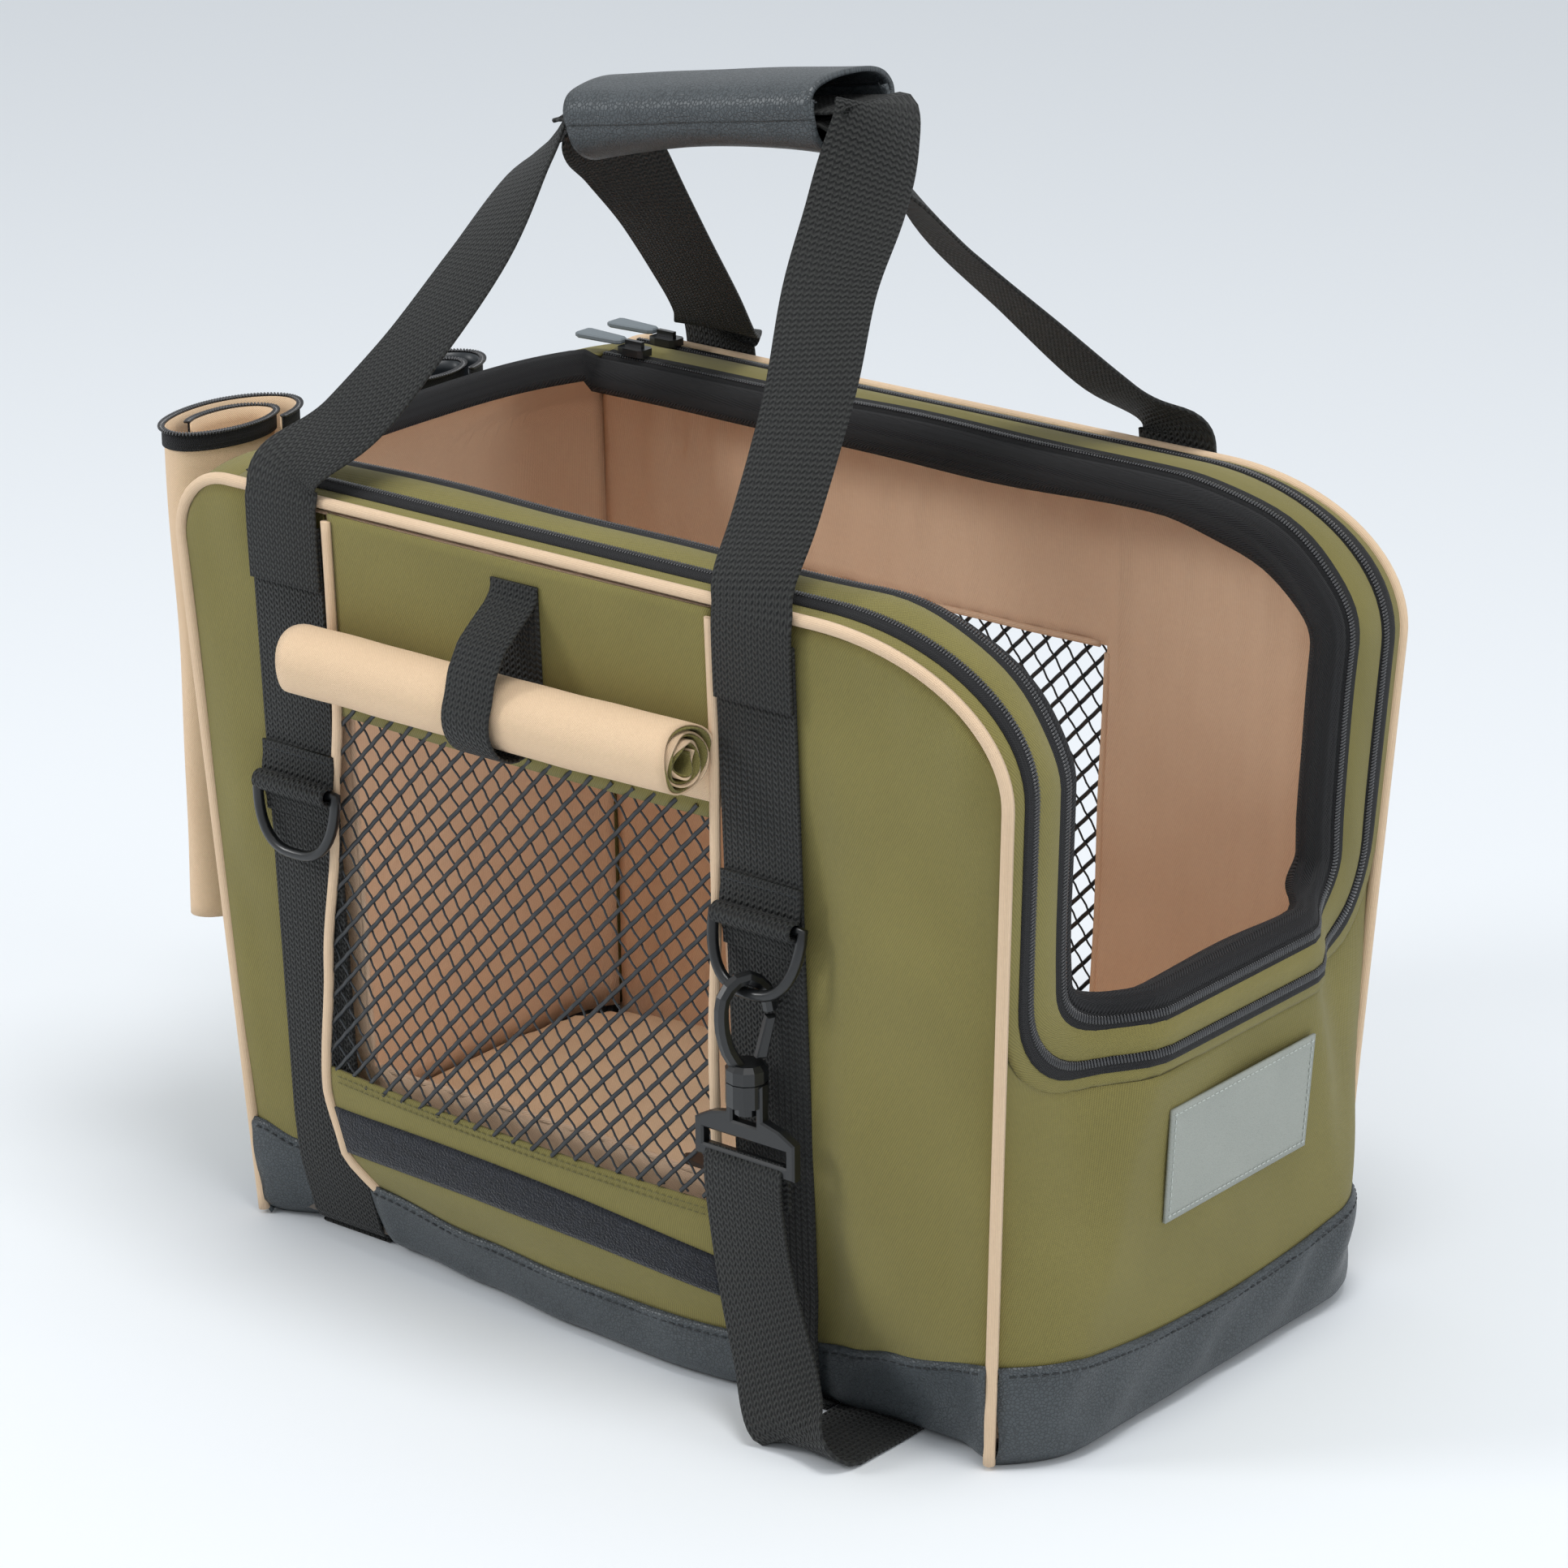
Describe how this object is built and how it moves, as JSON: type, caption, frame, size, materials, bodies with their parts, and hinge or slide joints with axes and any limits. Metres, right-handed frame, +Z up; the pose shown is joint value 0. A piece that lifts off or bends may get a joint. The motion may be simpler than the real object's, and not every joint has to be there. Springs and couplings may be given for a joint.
{
  "type": "pet carrier bag",
  "caption": "Soft-sided pet carrier bag with a wide zipped opening, mesh side windows with roll-up covers, webbing carry handles with a wrap grip and a clip-on shoulder strap.",
  "frame": {"origin": "middle of the flat underside of the base boot", "axes": "+X towards the end with the wide opening, +Z up, -Y towards the side that the camera sees (near side)"},
  "size_m": [0.4928, 0.3451, 0.4959],
  "materials": {
    "olive_nylon": "plain-weave olive nylon",
    "tan_nylon": "plain-weave tan nylon",
    "salmon_lining": "plain-weave salmon lining",
    "black_webbing": "ribbed black webbing",
    "leatherette": "pebbled charcoal leatherette",
    "label_leather": "smooth grey-green leather",
    "black_plastic": "satin moulded black plastic",
    "window_mesh": "coated black diamond mesh",
    "black_tape": "woven black zip and hook tape",
    "pull_rubber": "grey moulded rubber",
    "base_board": "stiff base board"
  },
  "bodies": {
    "root": {"near_side_panel": "olive_nylon", "far_side_panel": "olive_nylon", "front_end_panel": "olive_nylon", "back_end_panel": "olive_nylon", "near_border_strip": "olive_nylon", "far_border_strip": "olive_nylon", "near_piping": "tan_nylon", "far_piping": "tan_nylon", "near_cover_roll": "tan_nylon", "far_cover_roll": "tan_nylon", "near_lining": "salmon_lining", "far_lining": "salmon_lining", "front_lining": "salmon_lining", "back_lining": "salmon_lining", "floor_cushion": "salmon_lining", "rear_body_strap": "black_webbing", "front_body_strap": "black_webbing", "shoulder_strap": "black_webbing", "safety_tether": "black_webbing", "near_rear_ring_keeper": "black_webbing", "near_front_ring_keeper": "black_webbing", "far_rear_ring_keeper": "black_webbing", "far_front_ring_keeper": "black_webbing", "near_keeper_back": "black_webbing", "far_keeper_back": "black_webbing", "base_boot": "leatherette", "label_patch": "label_leather", "tether_clip": "black_plastic", "near_hook_eye": "black_plastic", "far_hook_eye": "black_plastic", "near_window_mesh": "window_mesh", "far_window_mesh": "window_mesh", "outer_zip_tape": "black_tape", "inner_zip_tape": "black_tape", "opening_binding": "black_tape", "near_hook_strip": "black_tape", "far_hook_strip": "black_tape", "base_board": "base_board"},
    "near_handle": {"near_handle_strap": "black_webbing", "grip_wrap": "leatherette"},
    "grip_flap": {"grip_flap": "leatherette"},
    "far_handle": {"far_handle_strap": "black_webbing"},
    "outer_slider": {"outer_zip_slider": "black_plastic"},
    "outer_pull": {"outer_zip_pull": "pull_rubber"},
    "inner_slider": {"inner_zip_slider": "black_plastic"},
    "inner_pull": {"inner_zip_pull": "pull_rubber"},
    "outer_flap": {"outer_flap_roll": "tan_nylon"},
    "mesh_flap": {"mesh_flap_roll": "black_tape"},
    "near_rear_ring": {"near_rear_d_ring": "black_plastic"},
    "near_front_ring": {"near_front_d_ring": "black_plastic"},
    "near_hook": {"near_snap_hook": "black_plastic"},
    "near_gate": {"near_hook_gate": "black_plastic"},
    "near_keeper": {"near_keeper_front": "black_webbing"},
    "far_rear_ring": {"far_rear_d_ring": "black_plastic"},
    "far_front_ring": {"far_front_d_ring": "black_plastic"},
    "far_hook": {"far_snap_hook": "black_plastic"},
    "far_gate": {"far_hook_gate": "black_plastic"},
    "far_keeper": {"far_keeper_front": "black_webbing"}
  },
  "joints": [
    {"name": "near_handle_fold", "type": "hinge", "parent": "root", "child": "near_handle", "pos_m": [0, -0.137, 0.3196], "axis": [1, 0, 0], "range_deg": [0, 130]},
    {"name": "far_handle_fold", "type": "hinge", "parent": "root", "child": "far_handle", "pos_m": [0, 0.137, 0.3196], "axis": [1, 0, 0], "range_deg": [-130, 0]},
    {"name": "grip_flap_open", "type": "hinge", "parent": "near_handle", "child": "grip_flap", "pos_m": [-0.03112, -0.023, 0.48306], "axis": [0.9877, 0, 0.1564], "range_deg": [0, 120]},
    {"name": "outer_zip_run", "type": "slide", "parent": "root", "child": "outer_slider", "axis": [1, 0, 0], "range_m": [0, 0.26]},
    {"name": "outer_pull_flip", "type": "hinge", "parent": "outer_slider", "child": "outer_pull", "pos_m": [-0.167, 0.117, 0.338], "axis": [0, 1, 0], "range_deg": [0, 85]},
    {"name": "inner_zip_run", "type": "slide", "parent": "root", "child": "inner_slider", "axis": [1, 0, 0], "range_m": [0, 0.26]},
    {"name": "inner_pull_flip", "type": "hinge", "parent": "inner_slider", "child": "inner_pull", "pos_m": [-0.167, 0.096, 0.338], "axis": [0, 1, 0], "range_deg": [0, 85]},
    {"name": "outer_flap_swing", "type": "hinge", "parent": "root", "child": "outer_flap", "pos_m": [-0.2255, -0.075, 0.325], "axis": [0, 1, 0], "range_deg": [0, 35]},
    {"name": "mesh_flap_swing", "type": "hinge", "parent": "root", "child": "mesh_flap", "pos_m": [-0.2255, 0.045, 0.32], "axis": [0, 1, 0], "range_deg": [0, 35]},
    {"name": "near_rear_ring_swing", "type": "hinge", "parent": "root", "child": "near_rear_ring", "pos_m": [-0.1465, -0.13402, 0.206], "axis": [-1, 0, 0], "range_deg": [0, 150]},
    {"name": "near_front_ring_swing", "type": "hinge", "parent": "root", "child": "near_front_ring", "pos_m": [0.0935, -0.13402, 0.206], "axis": [-1, 0, 0], "range_deg": [-1.5, 1.5]},
    {"name": "near_hook_swivel", "type": "hinge", "parent": "root", "child": "near_hook", "pos_m": [0.0925, -0.1404, 0.15], "axis": [0, 0, 1], "range_deg": [-6, 6]},
    {"name": "near_gate_press", "type": "hinge", "parent": "near_hook", "child": "near_gate", "pos_m": [0.0952, -0.13572, 0.1534], "axis": [0.866, -0.5, 0], "range_deg": [0, 22], "stiffness_Nm_per_rad": 0.02, "springref_deg": -11.46},
    {"name": "near_keeper_open", "type": "hinge", "parent": "root", "child": "near_keeper", "pos_m": [-0.024, -0.14856, 0.2507], "axis": [1, 0, 0], "range_deg": [0, 140]},
    {"name": "far_rear_ring_swing", "type": "hinge", "parent": "root", "child": "far_rear_ring", "pos_m": [-0.1465, 0.13402, 0.206], "axis": [1, 0, 0], "range_deg": [0, 150]},
    {"name": "far_front_ring_swing", "type": "hinge", "parent": "root", "child": "far_front_ring", "pos_m": [0.0935, 0.13402, 0.206], "axis": [1, 0, 0], "range_deg": [-1.5, 1.5]},
    {"name": "far_hook_swivel", "type": "hinge", "parent": "root", "child": "far_hook", "pos_m": [0.0925, 0.1404, 0.15], "axis": [0, 0, 1], "range_deg": [-6, 6]},
    {"name": "far_gate_press", "type": "hinge", "parent": "far_hook", "child": "far_gate", "pos_m": [0.0952, 0.13572, 0.1534], "axis": [-0.866, -0.5, 0], "range_deg": [0, 22], "stiffness_Nm_per_rad": 0.02, "springref_deg": -11.46},
    {"name": "far_keeper_open", "type": "hinge", "parent": "root", "child": "far_keeper", "pos_m": [-0.024, 0.14856, 0.2507], "axis": [-1, 0, 0], "range_deg": [0, 140]}
  ],
  "couplings": [
    {"joint": "far_handle_fold", "follows": "near_handle_fold", "ratio": -1}
  ]
}
